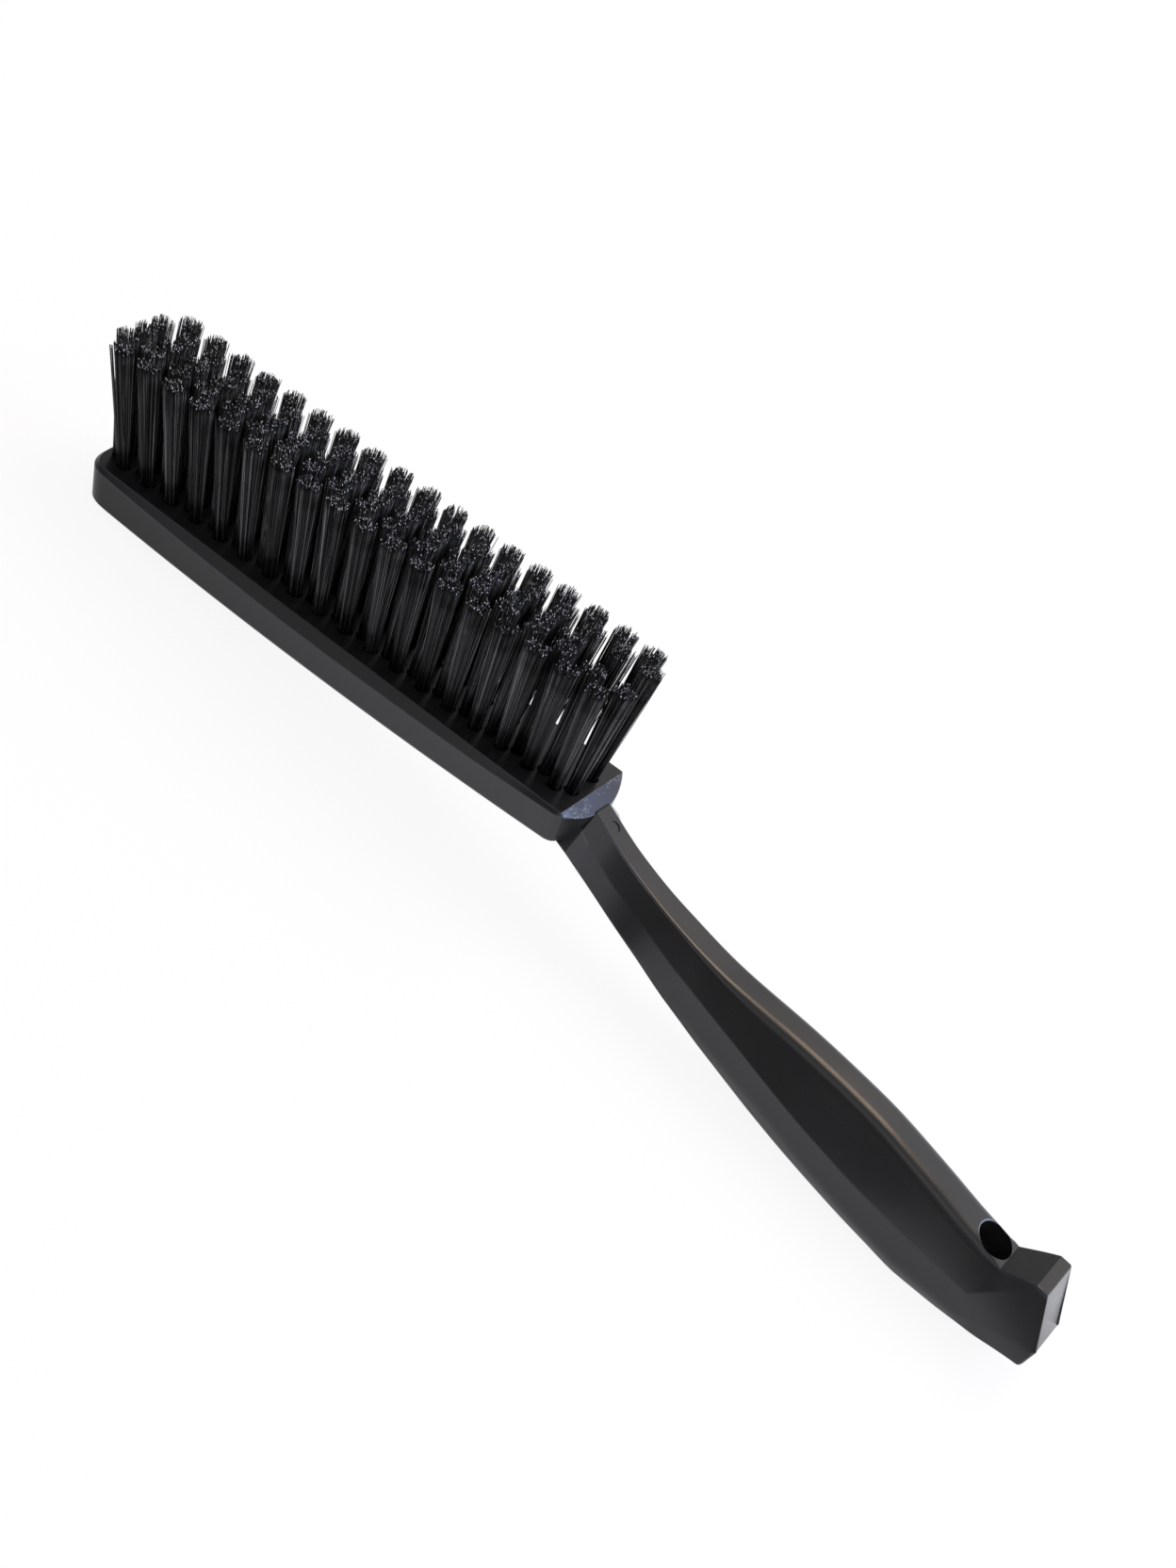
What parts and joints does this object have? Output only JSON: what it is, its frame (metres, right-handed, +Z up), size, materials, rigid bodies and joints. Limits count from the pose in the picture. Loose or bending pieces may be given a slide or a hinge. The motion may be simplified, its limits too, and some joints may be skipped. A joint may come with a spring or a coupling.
{
  "type": "upholstery brush",
  "caption": "Upholstery brush: a long block with staggered rows of splayed black tufts, a cranked faceted handle and a hanging hole.",
  "frame": {"origin": "on the table, under the middle of the brush's box, with the brush lying on its back", "axes": "+X along the brush from the bristle block towards the handle's heel, +Y across it, +Z up, away from the table and along the bristles"},
  "size_m": [0.2926, 0.0288, 0.0629],
  "materials": {
    "body_plastic": "satin black moulded plastic",
    "bristle": "black nylon filament"
  },
  "bodies": {
    "root": {"brush_body": "body_plastic", "tuft_column_01": "bristle", "tuft_column_02": "bristle", "tuft_column_03": "bristle", "tuft_column_04": "bristle", "tuft_column_05": "bristle", "tuft_column_06": "bristle", "tuft_column_07": "bristle", "tuft_column_08": "bristle", "tuft_column_09": "bristle", "tuft_column_10": "bristle", "tuft_column_11": "bristle", "tuft_column_12": "bristle", "tuft_column_13": "bristle", "tuft_column_14": "bristle", "tuft_column_15": "bristle", "tuft_column_16": "bristle", "tuft_column_17": "bristle", "tuft_column_18": "bristle", "tuft_column_19": "bristle"}
  },
  "joints": []
}
